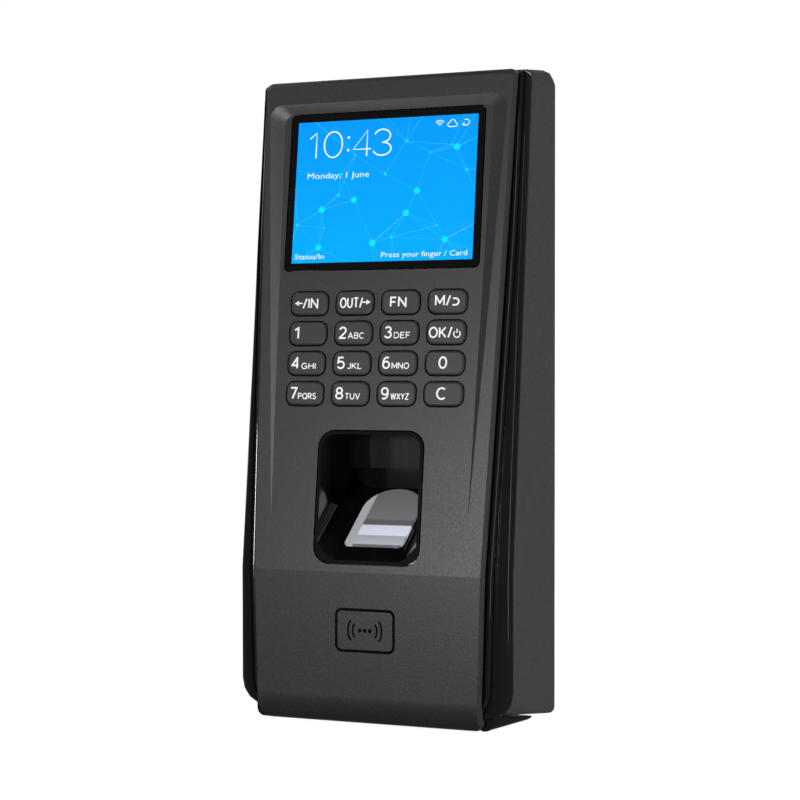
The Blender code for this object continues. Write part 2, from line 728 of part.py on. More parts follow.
def build_sensor():
    front = 40.0
    rear_upper = 11.4
    rear_lower = 6.0
    step_z = -17.6
    outer_top = WELL_TOP - GAP
    outer_bottom = WELL_BOTTOM + GAP
    ramp_foot = 29.4
    outer = ((-plane_depth(outer_top), outer_top), (-rear_upper, outer_top),
             (-rear_upper, step_z), (-rear_lower, step_z),
             (-rear_lower, ramp_z(-rear_lower, RAMP_SKIN)), (-ramp_foot, ramp_z(-ramp_foot, RAMP_SKIN)),
             (-ramp_foot, outer_bottom), (-plane_depth(outer_bottom), outer_bottom))
    well = side_prism("sensor_well", outer, WELL_HALF)
    keep = wall_prism("keep_well_outline", well_outline(-GAP), -front, 0.0)
    boolean(well, finish_cutter(keep), "INTERSECT")

    inner_top = WELL_TOP - WELL_RIM
    inner_bottom = WELL_BOTTOM + WELL_RIM
    foot_y = RAMP_Y + (inner_bottom - RAMP_Z) / math.tan(RAMP_ANGLE)
    cavity = ((-front, inner_top), (-rear_upper - 1.4, inner_top),
              (-rear_upper - 1.4, step_z - 1.4), (-rear_lower - 1.4, step_z - 1.4),
              (-rear_lower - 1.4, ramp_z(-rear_lower - 1.4)), (foot_y, inner_bottom),
              (-front, inner_bottom))
    hollow = finish_cutter(side_prism("cut_well_cavity", cavity, WELL_HALF))
    boolean(hollow, finish_cutter(wall_prism("keep_cavity_outline", well_outline(-WELL_RIM),
                                             -front - 1.0, 0.0)), "INTERSECT")
    rails = bmesh.new()
    for side in (-1, 1):
        before = set(rails.verts)
        wedge = ((side * (GLASS_HALF + 0.9), -0.5), (side * 15.0, -0.5), (side * 15.0, TROUGH_RISE + 1.2),
                 (side * (WELL_HALF - WELL_RIM), TROUGH_RISE), (side * (GLASS_HALF + 2.6), 0.75),
                 (side * (GLASS_HALF + 0.9), 0.0))
        add_prism(rails, wedge, -40.0, 8.0)
        fresh = [v for v in rails.verts if v not in before]
        turn = Matrix(((1, 0, 0, 0), (0, 0, -1, 0), (0, 1, 0, 0), (0, 0, 0, 1)))
        bmesh.ops.transform(rails, matrix=ramp_frame() @ turn, verts=fresh)
    boolean(hollow, finish_cutter(mesh_object("keep_well_rails", rails)))
    boolean(well, finish_cutter(hollow))

    hole = prism("cut_glass_hole", d_outline(GLASS_HALF + GAP, GLASS_LENGTH + 2 * GAP, 1.6),
                 -8.0, 3.0, ramp_frame() @ Matrix.Translation((0.0, -GAP, 0.0)))
    boolean(well, finish_cutter(hole))
    finish_part(well, plastic_gloss)

    prism_frame = ramp_frame()
    glass = prism("sensor_prism", d_outline(GLASS_HALF, GLASS_LENGTH, 1.3), -GLASS_DEPTH,
                  GLASS_PROUD, prism_frame, 30)
    finish_part(glass, glass_clear)

    module = box("sensor_module", (-8.6, 2.4, -9.0), (8.6, 19.6, -GLASS_DEPTH - 0.6), 0.5)
    finish_part(stand(module, ramp_frame()), plastic_inner)


# ---------------------------------------------------------------- reader, sockets, back

def lock_frame():
    """Frame of the locking screw, pointing down out of the underside."""
    frame = Matrix.Identity(4)
    frame.col[1][:3] = Vector((0.0, -1.0, 0.0))
    frame.col[2][:3] = Vector((0.0, 0.0, -1.0))
    frame.col[3][:3] = Vector((0.0, LOCK_Y, housing_bottom(-LOCK_Y)))
    return frame


def build_card_antenna():
    """Flat coil former behind the card symbol."""
    outline = rounded_rectangle(50.0, 30.0, 3.0, 4, (0.0, -60.0))
    coil = wall_prism("card_antenna", outline, -28.6, -27.6)
    inner = wall_prism("cut_antenna", rounded_rectangle(34.0, 14.0, 1.5, 3, (0.0, -60.0)),
                       -30.0, -26.0)
    boolean(coil, finish_cutter(inner))
    finish_part(coil, board_green)


def build_socket_board():
    outline = rounded_rectangle(60.0, 27.0, 1.5, 2, (0.0, -60.0))
    finish_part(wall_prism("socket_board", outline, -CARRIER_FRONT, -CARRIER_REAR), board_green)

    network = box("network_socket", (-24.0, -16.1, -65.5), (-8.0, -4.4, -49.5), 0.3)
    boolean(network, finish_cutter(box("cut_network", (-22.0, -12.0, -61.5), (-10.0, -3.0, -52.5))))
    finish_part(network, metal_panel)

    power = box("power_terminal", (-5.0, -16.1, -64.0), (3.0, -6.0, -53.0), 0.3)
    boolean(power, finish_cutter(slot_cutter("cut_power", (-2.9, 0.9), 1.2)))
    finish_part(power, terminal_green)

    signal = box("signal_terminal", (5.6, -16.1, -64.0), (24.4, -6.0, -53.0), 0.3)
    places = [7.5 + 3.75 * i for i in range(5)]
    boolean(signal, finish_cutter(slot_cutter("cut_signal", places, 1.2)))
    finish_part(signal, terminal_green)


def slot_cutter(name, places, half):
    """Wire entries in the rear face of a terminal block."""
    bm = bmesh.new()
    for x in places:
        add_box(bm, (x - half, -11.0, -62.0), (x + half, -5.0, -58.0))
    return mesh_object(name, bm)


def build_usb_socket():
    socket = box("usb_socket", (USB_X - 3.9, -9.5, -79.4), (USB_X + 3.9, -6.5, -73.9), 0.2)
    boolean(socket, finish_cutter(box("cut_usb", (USB_X - 3.2, -8.9, -80.1),
                                      (USB_X + 3.2, -7.1, -76.1))))
    finish_part(socket, metal_panel)
    board = box("usb_board", (USB_X - 6.0, -6.2, -76.5), (USB_X + 6.0, -5.0, -71.7), 0.15)
    finish_part(board, board_green)


def build_tamper():
    """Sprung plunger that the wall plate holds in, and the switch in front of it."""
    frame = facing_wall(PLUNGER_X, PLUNGER_Z)
    bm = bmesh.new()
    turned(bm, ((PLUNGER_RADIUS, 1.55), (PLUNGER_RADIUS, 4.3), (2.9, 4.3), (2.9, 5.1),
                (1.1, 5.1), (1.1, 7.2)), 16)
    finish_part(stand(mesh_object("tamper_plunger", bm, 35), frame), plastic_inner)
    switch = box("tamper_switch", (PLUNGER_X - 3.0, -11.0, PLUNGER_Z - 3.0),
                 (PLUNGER_X + 3.0, -7.2 - PLUNGER_TRAVEL - GAP, PLUNGER_Z + 3.0), 0.3)
    finish_part(switch, plastic_inner)


def build_speaker():
    frame = facing_wall(-22.5, -27.0)
    speaker = cylinder("speaker", 7.0, 4.6, 9.0, frame, 24)
    boolean(speaker, finish_cutter(cylinder("cut_speaker", 5.4, 7.6, 10.0, frame, 24)))
    finish_part(speaker, plastic_inner)


def build_clock_battery():
    finish_part(cylinder("clock_battery", 6.0, MAIN_BOARD_FRONT + GAP, MAIN_BOARD_FRONT + 2.0, facing_wall(-19.0, 8.0), 24), steel)


def build_wall_bracket():
    """Steel plate screwed to the wall, with hooks at the top and a tongue below."""
    outline = rounded_rectangle(65.6, 143.0, 2.0, 3, (0.0, 2.0))
    plate = wall_prism("wall_bracket", outline, -1.2, 0.0)
    window = finish_cutter(wall_prism("cut_bracket_window",
                                      rounded_rectangle(54.0, 22.6, 2.0, 3, (0.0, -57.5)),
                                      -3.0, 1.0))
    boolean(plate, window)
    holes = bmesh.new()
    for x in (-30.0 + 7.5, 30.0 - 7.5):
        for z in (58.0, -38.0):
            frame = facing_wall(x, z)
            bmesh.ops.create_cone(holes, cap_ends=True, segments=16, radius1=2.2, radius2=2.2,
                                  depth=6.0, matrix=frame)
    boolean(plate, finish_cutter(mesh_object("cut_bracket_holes", holes)))
    finish_part(plate, steel)


def build_lock_screw():
    build_screw("lock_screw", lock_frame(), -1.6, 0.2, LOCK_RADIUS - 0.05, 2.6)


def build_gasket():
    """Soft seal in the joint between the frame and the housing, inside the walls."""
    def ring(inset):
        return half_outline(lambda z: HOUSING_HALF_FRONT - HOUSING_WALL - inset,
                            78.6 - inset, housing_bottom(25.7) + HOUSING_WALL + inset, 3.0, 2.4,
                            SIDE_STATIONS, 3)
    near = HOUSING_FRONT + 0.9
    far = HOUSING_FRONT + 2.1
    bm = bmesh.new()
    add_loft(bm, [ring(0.3), ring(1.3), ring(1.3), ring(0.3)],
             lambda k, z: plane_depth(z) - (near, near, far, far)[k], ring_closed=True)
    finish_part(mesh_object("housing_gasket", bm), silicone)


# ---------------------------------------------------------------- build

clear_scene()
parts = make_collection(PARTS)
cutters = make_collection(CUTTERS)

plastic_cover = make_material("cover_plastic", (0.055, 0.056, 0.058), 0.62)
plastic_housing = make_material("housing_plastic", (0.06, 0.06, 0.056), 0.6)
plastic_gloss = make_material("gloss_plastic", (0.008, 0.008, 0.008), 0.08)
plastic_key = make_material("key_plastic", (0.045, 0.045, 0.046), 0.55)
plastic_inner = make_material("inner_plastic", (0.02, 0.02, 0.02), 0.5)
glass_black = make_material("display_glass", (0.004, 0.004, 0.005), 0.05)
glass_clear = make_material("sensor_glass", (0.75, 0.77, 0.8), 0.1)
metal_panel = make_material("panel_metal", (0.55, 0.56, 0.58), 0.35, 1.0)
steel = make_material("plated_steel", (0.6, 0.6, 0.6), 0.3, 1.0)
board_green = make_material("circuit_board", (0.02, 0.12, 0.05), 0.5)
terminal_green = make_material("terminal_plastic", (0.03, 0.25, 0.08), 0.5)
silicone = make_material("silicone_rubber", (0.1, 0.1, 0.1), 0.8)

build_front_cover()
build_mid_frame()
build_rear_housing()
build_display()
build_keys()
build_keypad_mat()
build_front_board()
build_main_board()
build_sensor()
build_card_antenna()
build_socket_board()
build_usb_socket()
build_tamper()
build_speaker()
build_clock_battery()
build_wall_bracket()
build_lock_screw()
build_gasket()
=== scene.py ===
"""Looks of the wall terminal: plastics, glass, key legends, display picture and studio.

Axes: +Z up, the front faces -Y, +X is to the right seen from the front. Lengths in
metres; the drawing helpers take millimetres on a face.
"""
import json
import math
import random

import bmesh
import bpy
from mathutils import Matrix, Vector


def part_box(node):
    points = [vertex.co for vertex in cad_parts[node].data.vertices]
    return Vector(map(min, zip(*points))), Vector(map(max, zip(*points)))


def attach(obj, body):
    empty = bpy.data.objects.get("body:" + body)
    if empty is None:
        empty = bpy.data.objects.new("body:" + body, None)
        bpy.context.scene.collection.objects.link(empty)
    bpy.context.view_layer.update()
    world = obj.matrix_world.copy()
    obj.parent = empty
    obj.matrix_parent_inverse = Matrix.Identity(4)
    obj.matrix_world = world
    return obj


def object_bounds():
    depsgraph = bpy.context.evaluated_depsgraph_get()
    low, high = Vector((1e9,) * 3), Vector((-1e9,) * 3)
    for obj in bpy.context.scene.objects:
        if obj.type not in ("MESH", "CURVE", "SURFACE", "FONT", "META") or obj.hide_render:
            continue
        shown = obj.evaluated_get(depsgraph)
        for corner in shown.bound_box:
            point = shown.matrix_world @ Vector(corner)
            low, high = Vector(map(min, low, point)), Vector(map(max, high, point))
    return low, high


MM = 0.001

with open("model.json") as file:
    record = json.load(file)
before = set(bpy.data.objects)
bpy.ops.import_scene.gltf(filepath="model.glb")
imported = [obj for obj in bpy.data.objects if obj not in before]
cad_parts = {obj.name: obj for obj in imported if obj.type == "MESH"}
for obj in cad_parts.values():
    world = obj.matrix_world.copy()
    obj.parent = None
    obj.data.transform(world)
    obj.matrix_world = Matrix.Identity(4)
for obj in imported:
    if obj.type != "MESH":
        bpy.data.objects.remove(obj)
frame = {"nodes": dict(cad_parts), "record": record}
nodes = frame["nodes"]
record = frame["record"]
cad_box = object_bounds()
MAIN = "terminal"


# ---------------------------------------------------------------- node helpers

class Shader:
    """A new material and short calls for the nodes that feed its Principled shader."""

    def __init__(self, name, roughness=0.5, metallic=0.0, **sockets):
        self.material = bpy.data.materials.new(name)
        self.material.use_nodes = True
        self.tree = self.material.node_tree
        self.bsdf = self.tree.nodes["Principled BSDF"]
        self.bsdf.inputs["Roughness"].default_value = roughness
        self.bsdf.inputs["Metallic"].default_value = metallic
        for key, value in sockets.items():
            self.bsdf.inputs[key.replace("_", " ")].default_value = value
        self.coords = self.tree.nodes.new("ShaderNodeTexCoord").outputs["Object"]

    def noise(self, scale, detail=2.0, roughness=0.5, stretch=None):
        node = self.tree.nodes.new("ShaderNodeTexNoise")
        node.inputs["Scale"].default_value = scale
        node.inputs["Detail"].default_value = detail
        node.inputs["Roughness"].default_value = roughness
        source = self.coords
        if stretch:
            mapping = self.tree.nodes.new("ShaderNodeMapping")
            mapping.inputs["Scale"].default_value = stretch
            self.tree.links.new(source, mapping.inputs["Vector"])
            source = mapping.outputs["Vector"]
        self.tree.links.new(source, node.inputs["Vector"])
        return node.outputs["Fac"]

    def axis(self, direction, origin=(0.0, 0.0, 0.0)):
        """Distance along a direction from a point, in the object's own units."""
        moved = self.tree.nodes.new("ShaderNodeVectorMath")
        moved.operation = "SUBTRACT"
        moved.inputs[1].default_value = origin
        self.tree.links.new(self.coords, moved.inputs[0])
        node = self.tree.nodes.new("ShaderNodeVectorMath")
        node.operation = "DOT_PRODUCT"
        node.inputs[1].default_value = direction
        self.tree.links.new(moved.outputs["Vector"], node.inputs[0])
        return node.outputs["Value"]

    def ramp(self, value, low, high, stops):
        """Colour ramp over a value between low and high; stops are (place, colour)."""
        spread = self.tree.nodes.new("ShaderNodeMapRange")
        spread.inputs["From Min"].default_value = low
        spread.inputs["From Max"].default_value = high
        self.tree.links.new(value, spread.inputs["Value"])
        node = self.tree.nodes.new("ShaderNodeValToRGB")
        points = node.color_ramp.elements
        while len(points) < len(stops):
            points.new(1.0)
        for point, (place, colour) in zip(points, stops):
            point.position = place
            point.color = (*colour, 1.0) if isinstance(colour, tuple) else (colour, colour, colour, 1.0)
        self.tree.links.new(spread.outputs["Result"], node.inputs["Fac"])
        return node.outputs["Color"]

    def scaled(self, value, low, high):
        node = self.tree.nodes.new("ShaderNodeMapRange")
        node.inputs["To Min"].default_value = low
        node.inputs["To Max"].default_value = high
        self.tree.links.new(value, node.inputs["Value"])
        return node.outputs["Result"]

    def mixed(self, factor, first, second):
        node = self.tree.nodes.new("ShaderNodeMix")
        node.data_type = "RGBA"
        for socket, value in ((node.inputs[0], factor), (node.inputs[6], first),
                              (node.inputs[7], second)):
            if isinstance(value, tuple):
                socket.default_value = (*value, 1.0)
            elif isinstance(value, float):
                socket.default_value = value
            else:
                self.tree.links.new(value, socket)
        return node.outputs[2]

    def to(self, socket, value):
        self.tree.links.new(value, self.bsdf.inputs[socket])

    def bump(self, value, strength, distance):
        node = self.tree.nodes.new("ShaderNodeBump")
        node.inputs["Strength"].default_value = strength
        node.inputs["Distance"].default_value = distance
        self.tree.links.new(value, node.inputs["Height"])
        self.to("Normal", node.outputs["Normal"])


def shade(colour, factor):
    return tuple(min(1.0, c * factor) for c in colour)


def moulded(name, colour, roughness, grain=2300.0, strength=0.5, depth=0.00005, spread=0.4):
    """Moulded plastic: spark-eroded grain, slight clouding and uneven gloss."""
    s = Shader(name, roughness, Specular_IOR_Level=0.5)
    grain_value = s.noise(grain, 3.0, 0.6)
    clouds = s.noise(55.0, 3.0, 0.5)
    fine = s.ramp(grain_value, 0.3, 0.7, ((0.0, shade(colour, 1 - spread)), (1.0, shade(colour, 1 + spread))))
    wide = s.ramp(clouds, 0.3, 0.7, ((0.0, shade(colour, 0.95)), (1.0, shade(colour, 1.05))))
    s.to("Base Color", s.mixed(0.3, fine, wide))
    s.to("Roughness", s.scaled(s.noise(grain * 0.6, 2.0), roughness - 0.07, roughness + 0.07))
    s.bump(grain_value, strength, depth)
    return s.material


def polished(name, colour, roughness=0.07, coat=0.5):
    """Polished plastic: long, faint ripples of the moulding and hairline wipe marks."""
    s = Shader(name, roughness, Coat_Weight=coat, Coat_Roughness=0.03)
    s.to("Base Color", s.ramp(s.noise(120.0, 2.0), 0.3, 0.7,
                              ((0.0, shade(colour, 0.85)), (1.0, shade(colour, 1.15)))))
    wipes = s.noise(900.0, 4.0, 0.6, stretch=(1.0, 1.0, 0.12))
    s.to("Roughness", s.scaled(wipes, max(0.02, roughness - 0.03), roughness + 0.05))
    s.bump(s.noise(70.0, 1.0), 0.08, 0.0002)
    return s.material


def brushed(name, colour, roughness=0.3):
    """Plated sheet metal with a fine rolled grain."""
    s = Shader(name, roughness, 1.0)
    lines = s.noise(1400.0, 4.0, 0.6, stretch=(0.08, 1.0, 1.0))
    s.to("Base Color", s.ramp(lines, 0.3, 0.7, ((0.0, shade(colour, 0.86)), (1.0, colour))))
    s.to("Roughness", s.scaled(lines, roughness - 0.08, roughness + 0.12))
    s.bump(lines, 0.15, 0.00003)
    return s.material


def printed(name, colour, roughness=0.45, specular=0.5):
    """Screen-printed ink with slightly uneven cover."""
    s = Shader(name, roughness, Specular_IOR_Level=specular)
    s.to("Base Color", s.ramp(s.noise(3000.0, 2.0), 0.25, 0.75,
                              ((0.0, shade(colour, 0.88)), (1.0, colour))))
    s.to("Roughness", s.scaled(s.noise(1500.0), roughness - 0.05, roughness + 0.05))
    return s.material


def lit(name, colour, power):
    """Glowing mark that keeps its colour in any light: the display's picture, which is the screen's own
    light, and the key legends, whose glow is painted light.
    """
    s = Shader(name, 0.2, Emission_Color=(*colour, 1.0), Emission_Strength=power)
    s.to("Base Color", s.ramp(s.noise(4000.0), 0.3, 0.7,
                              ((0.0, shade(colour, 0.10)), (1.0, shade(colour, 0.14)))))
    return s.material


def circuit_board():
    """Solder mask with copper tracks that show as lighter lines."""
    s = Shader("circuit_board_look", 0.4)
    tracks = s.noise(260.0, 1.0, 0.4, stretch=(1.0, 0.2, 3.0))
    colour = s.ramp(tracks, 0.35, 0.65, ((0.0, (0.008, 0.06, 0.022)), (0.48, (0.008, 0.06, 0.022)),
                                         (0.5, (0.015, 0.12, 0.045)), (1.0, (0.012, 0.1, 0.035))))
    s.to("Base Color", colour)
    s.to("Roughness", s.scaled(s.noise(600.0), 0.3, 0.5))
    s.bump(tracks, 0.2, 0.00005)
    return s.material


# ---------------------------------------------------------------- faces to draw on

press_axis = Vector(next(j for j in record["behaviour"]["joints"] if j["name"] == "key_1_press")["axis"])
OUT = -press_axis.normalized()
UP = OUT.cross(Vector((1.0, 0.0, 0.0))).normalized()
if UP.z < 0.0:
    UP = -UP


FACE_TOLERANCE = 0.00002    # points this near the outermost one belong to its face
FACE_LIFT = 0.00002         # drawings stand this far off the face


def face_frame(node):
    """Axes on the outer face of a CAD node: X, up and out, with the origin at its centre."""
    points = [v.co for v in nodes[node].data.vertices]
    reach = max(p.dot(OUT) for p in points)
    face = [p for p in points if p.dot(OUT) > reach - FACE_TOLERANCE]
    low = Vector([min(p[i] for p in face) for i in range(3)])
    high = Vector([max(p[i] for p in face) for i in range(3)])
    matrix = Matrix.Identity(4)
    matrix.col[1][:3] = UP
    matrix.col[2][:3] = OUT
    matrix.col[3][:3] = (low + high) / 2 + OUT * FACE_LIFT
    return matrix


def owner(node):
    """Body that a CAD node moves with."""
    for body, members in record["behaviour"]["bodies"].items():
        if node in members:
            return body
    return MAIN


def add(name, data, matrix, material, body):
    """Put a new piece in the scene, on a body and in a material slot."""
    obj = bpy.data.objects.new(name, data)
    bpy.context.scene.collection.objects.link(obj)
    obj.matrix_world = matrix
    data.materials.clear()
    data.materials.append(material)
    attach(obj, body)


def strokes(name, lines, width, face, material, body, flat=0.1):
    """Drawn lines of one width in millimetres on a face; a line is (points, closed)."""
    data = bpy.data.curves.new(name, "CURVE")
    data.dimensions = "3D"
    data.bevel_depth = width / 2
    data.bevel_resolution = 2
    data.use_fill_caps = True
    for points, closed in lines:
        spline = data.splines.new("POLY")
        spline.points.add(len(points) - 1)
        for target, (x, y) in zip(spline.points, points):
            target.co = (x, y, 0.0, 1.0)
        spline.use_cyclic_u = closed
    matrix = face @ Matrix.Diagonal((MM, MM, MM * flat, 1.0))
    add(name, data, matrix, material, body)


def arc(cx, cy, rx, ry, start, end, steps=16):
    """Points of an arc in degrees, counter-clockwise from +X."""
    points = []
    for i in range(steps + 1):
        angle = math.radians(start + (end - start) * i / steps)
        points.append((cx + rx * math.cos(angle), cy + ry * math.sin(angle)))
    return points


def glyphs():
    """Plain capitals, digits and a slash, one unit high, as character: (width, lines)."""
    ring = (arc(0.44, 0.5, 0.44, 0.5, 0, 345, 22), True)
    loop = [(0.0, 0.0), (0.0, 1.0), (0.38, 1.0)] + arc(0.38, 0.74, 0.27, 0.26, 90, -90, 8) + [(0.0, 0.48)]
    return {
        "A": (0.85, [([(0.0, 0.0), (0.425, 1.0), (0.85, 0.0)], False), ([(0.15, 0.34), (0.7, 0.34)], False)]),
        "B": (0.68, [([(0.0, 0.0), (0.0, 1.0), (0.38, 1.0)] + arc(0.38, 0.76, 0.25, 0.24, 90, -90, 8)
                      + [(0.0, 0.52), (0.4, 0.52)] + arc(0.4, 0.26, 0.28, 0.26, 90, -90, 8), True)]),
        "C": (0.8, [(arc(0.43, 0.5, 0.43, 0.5, 48, 312, 20), False)]),
        "D": (0.75, [([(0.0, 0.0), (0.0, 1.0), (0.3, 1.0)] + arc(0.3, 0.5, 0.45, 0.5, 90, -90, 12), True)]),
        "E": (0.6, [([(0.6, 1.0), (0.0, 1.0), (0.0, 0.0), (0.6, 0.0)], False),
                    ([(0.0, 0.52), (0.52, 0.52)], False)]),
        "F": (0.58, [([(0.58, 1.0), (0.0, 1.0), (0.0, 0.0)], False), ([(0.0, 0.5), (0.5, 0.5)], False)]),
        "G": (0.82, [(arc(0.43, 0.5, 0.43, 0.5, 48, 330, 20) + [(0.82, 0.45), (0.47, 0.45)], False)]),
        "H": (0.75, [([(0.0, 0.0), (0.0, 1.0)], False), ([(0.75, 0.0), (0.75, 1.0)], False),
                     ([(0.0, 0.52), (0.75, 0.52)], False)]),
        "I": (0.0, [([(0.0, 0.0), (0.0, 1.0)], False)]),
        "J": (0.45, [([(0.45, 1.0), (0.45, 0.25)] + arc(0.22, 0.25, 0.23, 0.25, 0, -165, 10), False)]),
        "K": (0.72, [([(0.0, 0.0), (0.0, 1.0)], False), ([(0.68, 1.0), (0.0, 0.36)], False),
                     ([(0.22, 0.56), (0.72, 0.0)], False)]),
        "L": (0.55, [([(0.0, 1.0), (0.0, 0.0), (0.55, 0.0)], False)]),
        "M": (0.92, [([(0.0, 0.0), (0.0, 1.0), (0.46, 0.22), (0.92, 1.0), (0.92, 0.0)], False)]),
        "N": (0.76, [([(0.0, 0.0), (0.0, 1.0), (0.76, 0.0), (0.76, 1.0)], False)]),
        "O": (0.88, [ring]),
        "P": (0.65, [(loop, False)]),
        "Q": (0.88, [ring, ([(0.55, 0.25), (0.86, -0.05)], False)]),
        "R": (0.68, [(loop, False), ([(0.34, 0.48), (0.68, 0.0)], False)]),
        "S": (0.62, [(arc(0.31, 0.755, 0.28, 0.245, 30, 270, 12)
                      + arc(0.31, 0.255, 0.31, 0.255, 90, -150, 12), False)]),
        "T": (0.72, [([(0.0, 1.0), (0.72, 1.0)], False), ([(0.36, 1.0), (0.36, 0.0)], False)]),
        "U": (0.74, [([(0.0, 1.0), (0.0, 0.36)] + arc(0.37, 0.36, 0.37, 0.36, 180, 360, 14)
                      + [(0.74, 1.0)], False)]),
        "V": (0.8, [([(0.0, 1.0), (0.4, 0.0), (0.8, 1.0)], False)]),
        "W": (1.15, [([(0.0, 1.0), (0.28, 0.0), (0.575, 1.0), (0.87, 0.0), (1.15, 1.0)], False)]),
        "X": (0.75, [([(0.0, 0.0), (0.75, 1.0)], False), ([(0.0, 1.0), (0.75, 0.0)], False)]),
        "Y": (0.75, [([(0.0, 1.0), (0.375, 0.48), (0.75, 1.0)], False),
                     ([(0.375, 0.48), (0.375, 0.0)], False)]),
        "Z": (0.7, [([(0.0, 1.0), (0.7, 1.0), (0.0, 0.0), (0.7, 0.0)], False)]),
        "/": (0.38, [([(0.0, -0.03), (0.38, 1.03)], False)]),
        "0": (0.62, [(arc(0.31, 0.5, 0.31, 0.5, 0, 345, 22), True)]),
        "1": (0.3, [([(0.0, 0.78), (0.3, 1.0), (0.3, 0.0)], False)]),
        "2": (0.62, [(arc(0.31, 0.7, 0.29, 0.3, 165, -28, 12) + [(0.02, 0.0), (0.62, 0.0)], False)]),
        "3": (0.62, [(arc(0.3, 0.765, 0.27, 0.235, 160, -90, 12)
                      + arc(0.3, 0.265, 0.32, 0.265, 90, -160, 12), False)]),
        "4": (0.64, [([(0.5, 0.0), (0.5, 1.0), (0.0, 0.28), (0.64, 0.28)], False)]),
        "5": (0.62, [([(0.55, 1.0), (0.1, 1.0), (0.04, 0.52)]
                      + arc(0.3, 0.32, 0.32, 0.32, 128, -150, 14), False)]),
        "6": (0.62, [(arc(0.31, 0.31, 0.31, 0.31, 0, 345, 20), True),
                     (arc(0.37, 0.43, 0.37, 0.57, 62, 190, 10), False)]),
        "7": (0.6, [([(0.0, 1.0), (0.6, 1.0), (0.2, 0.0)], False)]),
        "8": (0.62, [(arc(0.31, 0.755, 0.26, 0.245, 0, 340, 16), True),
                     (arc(0.31, 0.255, 0.31, 0.255, 0, 340, 16), True)]),
        "9": (0.62, [(arc(0.31, 0.69, 0.31, 0.31, 0, 345, 20), True),
                     (arc(0.25, 0.57, 0.37, 0.57, -118, 10, 10), False)]),
    }


GLYPHS = glyphs()
GLYPH_GAP = 0.3             # between characters, in the units of glyphs()
SHARP_CORNER = math.radians(50.0)
CORNER_REACH = 0.36         # how far a stroke runs past a sharp corner, in widths
LEGEND_FLATNESS = 0.06      # height of a printed stroke as a share of its width


def pulled_apart(points, closed, reach):
    """Cut a line at its sharp corners, so that it keeps its width there."""
    if closed:
        return [(points, True)]
    pieces = [[points[0]]]
    for before, here, after in zip(points, points[1:], points[2:]):
        pieces[-1].append(here)
        into = Vector((here[0] - before[0], here[1] - before[1]))
        out = Vector((after[0] - here[0], after[1] - here[1]))
        if into.length > 0.0 and out.length > 0.0 and into.angle(out) > SHARP_CORNER:
            into.normalize()
            out.normalize()
            pieces[-1][-1] = (here[0] + into.x * reach, here[1] + into.y * reach)
            pieces.append([(here[0] - out.x * reach, here[1] - out.y * reach)])
    pieces[-1].append(points[-1])
    return [(piece, False) for piece in pieces]


def written(name, words, x0, x1, base, cap, width, face, material, body):
    """Drawn words between x0 and x1 that stand on base, cap high, all in millimetres."""
    natural = sum(GLYPHS[c][0] for c in words) + GLYPH_GAP * (len(words) - 1)
    sx = (x1 - x0 - width) / natural
    sy = cap - width
    x = x0 + width / 2
    lines = []
    for c in words:
        for points, closed in GLYPHS[c][1]:
            drawn = [(x + px * sx, base + width / 2 + py * sy) for px, py in points]
            lines += pulled_apart(drawn, closed, width * CORNER_REACH)
        x += (GLYPHS[c][0] + GLYPH_GAP) * sx
    strokes(name, lines, width, face, material, body, LEGEND_FLATNESS)


def discs(name, places, face, material, body, thick=0.03):
    """Flat round dots; places are (x, y, radius) in millimetres."""
    bm = bmesh.new()
    for x, y, radius in places:
        matrix = Matrix.Translation((x, y, thick / 2))
        bmesh.ops.create_cone(bm, cap_ends=True, segments=24, radius1=radius, radius2=radius * 0.97,
                              depth=thick, matrix=matrix)
    data = bpy.data.meshes.new(name)
    bm.to_mesh(data)
    bm.free()
    add(name, data, face @ Matrix.Diagonal((MM, MM, MM, 1.0)), material, body)


def text_box(words):
    """Bounds of a text at size 1 in the built-in face."""
    data = bpy.data.curves.new("measure", "FONT")
    data.body = words
    data.size = 1.0
    obj = bpy.data.objects.new("measure", data)
    bpy.context.scene.collection.objects.link(obj)
    bpy.context.view_layer.update()
    corners = [Vector(c) for c in obj.bound_box]
    low = (min(c.x for c in corners), min(c.y for c in corners))
    high = (max(c.x for c in corners), max(c.y for c in corners))
    bpy.data.objects.remove(obj, do_unlink=True)
    bpy.data.curves.remove(data)
    return low, high


CAP = text_box("H")[1][1]
TEXT_WEIGHT = -0.004        # slims the built-in face
TEXT_DEPTH = 0.01           # millimetres to either side of the face


def label(name, words, x0, x1, base, cap, face, material, body):
    """Text that spans x0 to x1, stands on base and has capitals cap high, in millimetres."""
    low, high = text_box(words)
    data = bpy.data.curves.new(name, "FONT")
    data.body = words
    data.size = 1.0
    data.extrude = TEXT_DEPTH
    data.offset = TEXT_WEIGHT
    data.resolution_u = 3
    sx = (x1 - x0) / (high[0] - low[0]) * MM
    sy = cap / CAP * MM
    place = Matrix.Translation(((x0 * MM) - low[0] * sx, base * MM, 0.0))
    add(name, data, face @ place @ Matrix.Diagonal((sx, sy, MM, 1.0)), material, body)


# ---------------------------------------------------------------- materials of the CAD nodes

cover_look = moulded("cover_look", (0.026, 0.0262, 0.0266), 0.4)
housing_look = moulded("housing_look", (0.036, 0.0355, 0.034), 0.55, 2000.0)
key_look = moulded("key_look", (0.026, 0.026, 0.0265), 0.45, 3200.0, 0.15)
inner_look = moulded("inner_look", (0.02, 0.02, 0.02), 0.5)
gloss_look = polished("gloss_look", (0.0045, 0.0045, 0.0045))
lens_look = polished("lens_look", (0.004, 0.0038, 0.0036), 0.05, 0.0)
silicone_look = moulded("silicone_look", (0.12, 0.12, 0.12), 0.75, 1200.0, 0.1)
steel_look = brushed("steel_look", (0.62, 0.62, 0.61))
can_look = brushed("can_look", (0.5, 0.51, 0.53), 0.34)
board_look = circuit_board()
terminal_look = moulded("terminal_look", (0.02, 0.2, 0.06), 0.45, 1500.0, 0.15)

